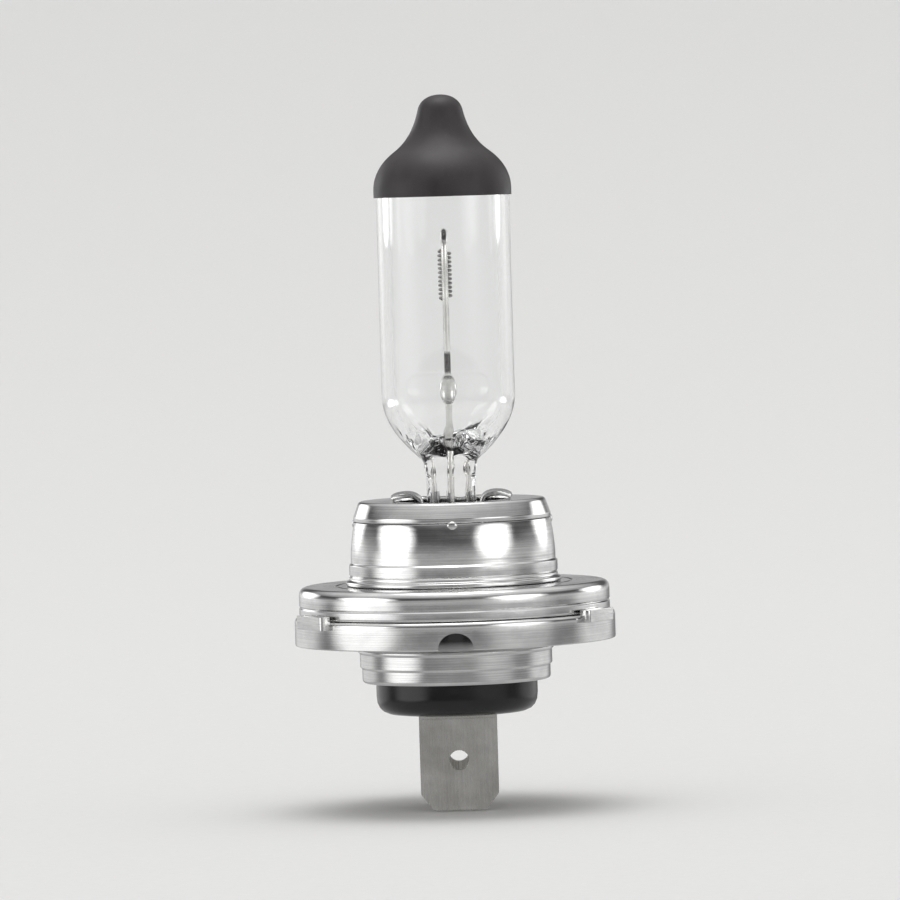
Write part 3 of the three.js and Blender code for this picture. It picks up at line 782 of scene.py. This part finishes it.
def focus_collar():
    """The collar on its flared foot, barrelled above two steps, with a weld spot on each quarter."""
    low, high = size_mm("focus_collar")
    foot, upper = high.x, high.x - 0.3
    belly_low, belly_high = 4.3, high.z - 0.12
    belly = []
    steps = 16
    for i in range(steps + 1):
        t = i / steps
        belly.append((foot - 0.45 - 0.08 * t - 0.24 * t**2, belly_low + (belly_high - belly_low) * t, 0))
    corners = [
        (foot, low.z, 0.12), (foot, low.z + 0.3, 0.14), (upper, low.z + 0.45, 0.25), (upper, 2.75, 0.04),
        (upper - 0.08, 2.85, 0.04), (upper, 2.95, 0.04), (upper, 3.75, 0.06), (foot - 0.45, 3.9, 0.06),
        *belly, (foot - 0.8, high.z, 0.04), (7.7, high.z, 0.12), (7.95, low.z, 0.12),
    ]
    weld_radius, weld_reach, weld_z = 0.42, 7.96, high.z - 0.14
    welds = []
    for degrees in (0, 90, 180, 270):
        weld = bmesh.new()
        bmesh.ops.create_uvsphere(weld, u_segments=40, v_segments=24, radius=weld_radius)
        bmesh.ops.scale(weld, vec=(0.4, 1, 0.8), verts=weld.verts)
        bmesh.ops.translate(weld, vec=(weld_reach, 0, weld_z), verts=weld.verts)
        weld.transform(Matrix.Rotation(math.radians(degrees), 4, "Z"))
        welds.append(weld)
    body = combine(turned(rounded(corners), segments=FINE_ROUND), welds, "UNION")
    place("collar", body, PLATED, "plated_steel", "focus_collar")


def holder_cap():
    """The bevelled cap, with the oval opening that the pinch and its clamps stand in."""
    low, high = size_mm("holder_cap")
    sheet, bore = 0.4, 4.2
    half_x, half_y = 4.6, 6.35
    corners = [
        (high.x, low.z, 0.1), (high.x, low.z + 0.35, 0.3), (high.x - 0.45, high.z, 0.35),
        (bore, high.z, 0.1), (bore, high.z - sheet, 0.1), (high.x - 0.8, high.z - sheet, 0.2),
        (high.x - sheet, low.z, 0.1),
    ]
    oval = [(half_x * math.cos(a), half_y * math.sin(a)) for a in angles(64)]
    opening = prism(oval, 3, Matrix.Translation((0, 0, high.z - 1.5)))
    body = combine(turned(rounded(corners)), [opening], "DIFFERENCE", bevel=0.07)
    place("cap", body, PLATED, "plated_steel", "holder_cap")


def burner_sleeve():
    """A plain sleeve inside the collar."""
    low, high = size_mm("burner_sleeve")
    inside = high.x - 0.3
    corners = [(high.x, low.z, 0.1), (high.x, high.z, 0.1), (inside, high.z, 0.1), (inside, low.z, 0.1)]
    place("sleeve", turned(rounded(corners)), SPRING, "spring_steel", "burner_sleeve")


def clamp_plate(name, node, side):
    """A face plate with two wings, and a tongue whose tip curls outwards above the cap."""
    face, back = PINCH_X + 0.15, PINCH_X + 0.55
    wings = rounded([
        (face, -5.2, 0.5), (face, 5.2, 0.5), (4.15, 5.85, 0.1), (4.35, 5.45, 0.1),
        (back, 4.85, 0.4), (back, -4.85, 0.4), (4.35, -5.45, 0.1), (4.15, -5.85, 0.1),
    ])
    plate = prism(wings, 4, Matrix.Translation((0, 0, 3)))
    bend, top = 3.7, 9.5
    rise = bezier((face, 8.3), (face, 9.1), (2.8, top), (bend, top), steps=10)
    curl = bezier((bend, top), (4.3, top), (4.7, top - 0.1), (4.95, top - 0.35), steps=6)
    outer = [Vector((face, 6.6)), *rise, *curl[1:]]
    thickness = 0.34
    under = []
    for i, point in enumerate(outer):
        along = (outer[min(i + 1, len(outer) - 1)] - outer[max(i - 1, 0)]).normalized()
        under.append(point + Vector((along.y, -along.x)) * thickness)
    half_width = 3
    to_middle = Matrix.Translation((0, half_width, 0)) @ UPRIGHT
    tongue = prism(outer + under[::-1], 2 * half_width, to_middle)
    for vert in tongue.verts:
        vert.co.y *= 1 - 0.3 * smoothstep(vert.co.x, 3.2, 5.1)
    body = combine(plate, [tongue], "UNION", bevel=0.07)
    if side < 0:
        body.transform(Matrix.Rotation(math.pi, 4, "Z"))
    place(name, body, SPRING, "spring_steel", node)


# ---- Insulator and blades ----------------------------------------------------------------------------

blade_low, blade_high = size_mm("rear_blade")
blade_y = (blade_low.y + blade_high.y) / 2
blade_thickness = blade_high.y - blade_low.y


def insulator():
    """The moulded plug, with a slot for each blade."""
    low, high = size_mm("insulator")
    plug, upper = 6.55, high.x
    shoulder = -4.75
    corners = [
        (0, low.z, 0), (plug, low.z, 1.5), (plug, shoulder, 0.15), (upper, shoulder, 0.15),
        (upper, high.z, 0.3), (0, high.z, 0),
    ]
    slot_width, slot_depth, slot_height = blade_high.x * 2 + 0.1, 0.7, 12
    slots = []
    for y in (blade_y, -blade_y):
        outline = [
            (-slot_width / 2, -slot_depth / 2), (slot_width / 2, -slot_depth / 2),
            (slot_width / 2, slot_depth / 2), (-slot_width / 2, slot_depth / 2),
        ]
        slots.append(prism(outline, slot_height, Matrix.Translation((0, y, -slot_height))))
    body = combine(turned(rounded(corners, closed=False), closed=False), slots, "DIFFERENCE", bevel=0.1)
    place("plug", body, PLASTIC, "black_plastic", "insulator")


def blade(name, node, side):
    """A coined blade with its latching hole, and the thinner shank that the insulator holds."""
    half, tip, top = blade_high.x, blade_low.z, blade_high.z
    hole_radius, hole_z = 0.8, tip + 4
    shoulder = size_mm("insulator")[0].z - 0.2
    shank_top, tail = size_mm("insulator")[1].z, 1.6

    def plate(corners, thickness):
        to_side = Matrix.Translation((0, side * blade_y + thickness / 2, 0)) @ UPRIGHT
        return prism(rounded(corners), thickness, to_side)

    exposed = plate([
        (-half + 1, tip, 0.25), (half - 1, tip, 0.25), (half, tip + 1.3, 0.3),
        (half, shoulder, 0.1), (-half, shoulder, 0.1), (-half, tip + 1.3, 0.3),
    ], blade_thickness)
    shank = plate([
        (-half, shoulder - 0.1, 0), (half, shoulder - 0.1, 0), (half, shank_top, 0.2),
        (tail, shank_top, 0.2), (tail, top, 0.2), (-tail, top, 0.2), (-tail, shank_top, 0.2),
        (-half, shank_top, 0.2),
    ], 0.6)
    circle = [(hole_radius * math.cos(a), hole_z + hole_radius * math.sin(a)) for a in angles(40)]
    drill = 4
    to_hole = Matrix.Translation((0, side * blade_y + drill / 2, 0)) @ UPRIGHT
    whole = combine(exposed, [shank], "UNION")
    body = combine(whole, [prism(circle, drill, to_hole)], "DIFFERENCE", bevel=0.09)
    place(name, body, TINNED, "tinned_metal", node)


# ---- Studio ------------------------------------------------------------------------------------------


def faded(tree, measure, full_at, gone_at, strength):
    """Falls smoothly from strength to nothing as the measure grows."""
    inputs = {"Value": measure.outputs["Value"], "From Min": full_at, "From Max": gone_at,
              "To Min": strength, "To Max": 0}
    return add_node(tree, "ShaderNodeMapRange", inputs, interpolation_type="SMOOTHSTEP").outputs["Result"]


def softbox(name, at, width, height, watts):
    """An oval light that fades towards its rim, so that its reflections have soft edges."""
    light = bpy.data.lights.new(name, "AREA")
    light.shape = "ELLIPSE"
    light.size, light.size_y = width, height
    light.energy = watts
    light.use_nodes = True
    tree = light.node_tree
    glow = next(node for node in tree.nodes if node.bl_idname == "ShaderNodeEmission")
    across = add_node(tree, "ShaderNodeNewGeometry").outputs["Parametric"]
    off_centre = add_node(tree, "ShaderNodeVectorMath", {0: across, 1: (0.5, 0.5, 0)}, operation="DISTANCE")
    tree.links.new(faded(tree, off_centre, 0.25, 0.5, 1), glow.inputs["Strength"])
    lamp = bpy.data.objects.new(name, light)
    bpy.context.scene.collection.objects.link(lamp)
    lamp.location = at
    lamp.rotation_euler = (-lamp.location).to_track_quat("-Z", "Y").to_euler()
    lamp.visible_camera = False
    return lamp


def low_glow(tree, direction, towards, strength):
    """Light that comes back off the floor under a softbox, as a soft wide spot in the surroundings."""
    centre = Vector((towards[0], towards[1], -0.05)).normalized()
    offset = add_node(tree, "ShaderNodeVectorMath", {0: direction, 1: centre}, operation="SUBTRACT")
    flattened = {0: offset.outputs["Vector"], 1: (1, 1, 3)}
    flattened = add_node(tree, "ShaderNodeVectorMath", flattened, operation="MULTIPLY")
    distance = add_node(tree, "ShaderNodeVectorMath", {0: flattened.outputs["Vector"]}, operation="LENGTH")
    return faded(tree, distance, 0.28, 0.62, strength)


FLOOR_GREY, CEILING_GREY = 0.5, 1.15
ROOM_GREYS = (  # (sine of the angle above eye level, brightness) between straight down and straight up
    (-0.3, 0.5), (-0.12, 0.26), (-0.05, 0.26), (-0.01, 0.5), (0.03, 0.5), (0.11, 0.3),
    (0.19, 0.1), (0.32, 0.1), (0.42, 0.35), (0.6, 0.6), (0.8, 0.85),
)


def surroundings(glows):
    """The room that the metal and glass reflect, dim a little above eye level and light overhead."""
    world = bpy.data.worlds.new("studio")
    world.use_nodes = True
    tree = world.node_tree
    direction = add_node(tree, "ShaderNodeTexCoord").outputs["Generated"]
    height = add_node(tree, "ShaderNodeSeparateXYZ", {0: direction}).outputs["Z"]
    share = add_node(tree, "ShaderNodeMapRange", {"Value": height, "From Min": -1}).outputs["Result"]
    shade = add_node(tree, "ShaderNodeValToRGB", {"Fac": share})
    for element, grey in zip(shade.color_ramp.elements, (FLOOR_GREY, CEILING_GREY)):
        element.color = (grey, grey, grey, 1)
    for z, grey in ROOM_GREYS:
        shade.color_ramp.elements.new((z + 1) / 2).color = (grey, grey, grey, 1)
    room = tree.nodes["Background"]
    tree.links.new(shade.outputs["Color"], room.inputs["Color"])
    total = 0
    for towards, strength in glows:
        spot = low_glow(tree, direction, towards, strength)
        total = add_node(tree, "ShaderNodeMath", {0: total, 1: spot}, operation="ADD").outputs["Value"]
    glow = add_node(tree, "ShaderNodeBackground", {"Strength": total})
    both = {0: room.outputs["Background"], 1: glow.outputs["Background"]}
    added = add_node(tree, "ShaderNodeAddShader", both)
    tree.links.new(added.outputs["Shader"], tree.nodes["World Output"].inputs["Surface"])
    bpy.context.scene.world = world


def studio():
    """A pale floor that curves up into a wall all round, under soft lights."""
    ground = cad_low.z / MM - 0.2
    flat_radius, curve_radius, steps = 350, 3000, 40
    sweep = []
    for i in range(steps + 1):
        a = math.pi / 2 * i / steps
        out, up = curve_radius * math.sin(a), curve_radius * (1 - math.cos(a))
        sweep.append(Vector((flat_radius + out, ground + up)))
    bm = turned([Vector((0, ground)), *sweep], closed=False, segments=96)
    bmesh.ops.scale(bm, vec=(MM, MM, MM), verts=bm.verts)
    mesh = bpy.data.meshes.new("floor")
    bm.to_mesh(mesh)
    bm.free()
    mesh.shade_smooth()
    mesh.materials.append(floor_material())
    floor = bpy.data.objects.new("floor", mesh)
    bpy.context.scene.collection.objects.link(floor)
    floor.visible_glossy = False

    sides = (  # name, place, width, height, watts, and brightness of the floor's glow under it
        ("left_softbox", (-0.75, -0.27, 0.17), 0.95, 0.4, 1.7, 1.3),
        ("right_softbox", (0.6, -0.53, 0.17), 0.85, 0.4, 1.5, 0.35),
        ("rear_left_softbox", (-0.5, 0.62, 0.17), 0.65, 0.4, 1.1, 0.6),
        ("rear_right_softbox", (0.64, 0.48, 0.17), 0.65, 0.4, 1.1, 0.6),
    )
    for name, at, width, height, watts, glow in sides:
        softbox(name, at, width, height, watts).visible_diffuse = False
    softbox("top_softbox", (0, 0.1, 1.7), 1.6, 1.6, 18)
    surroundings([(at, glow) for name, at, width, height, watts, glow in sides])
    bpy.context.scene.view_settings.view_transform = "Standard"


def camera():
    """Half a metre in front, a little above the bulb's middle, and leaning slightly."""
    data = bpy.data.cameras.new("camera")
    data.sensor_width = 36
    data.lens = 272
    eye = bpy.data.objects.new("camera", data)
    bpy.context.scene.collection.objects.link(eye)
    eye.location = (0, -0.551, 0.033)
    target = (cad_low + cad_high) / 2
    target.x = target.y = 0
    facing = (target - eye.location).to_track_quat("-Z", "Y")
    lean = Matrix.Rotation(math.radians(-1.7), 4, "Z")
    eye.rotation_euler = (facing.to_matrix().to_4x4() @ lean).to_euler()
    data.clip_start = 0.01
    bpy.context.scene.camera = eye


camera()
capsule()
coating()
filament()
inner_leads()
bridge()
foil("front_foil", "long_lead_foil")
foil("rear_foil", "short_lead_foil")
outer_lead("rear_lead_out", "rear_outer_lead", 1)
outer_lead("front_lead_out", "front_outer_lead", -1)
burner_sleeve()
clamp_plate("right_clamp", "right_clamp_plate", 1)
clamp_plate("left_clamp", "left_clamp_plate", -1)
holder_cap()
focus_collar()
pilot_ring()
flange_ring()
base_can()
insulator()
blade("rear_contact", "rear_blade", 1)
blade("front_contact", "front_blade", -1)
studio()
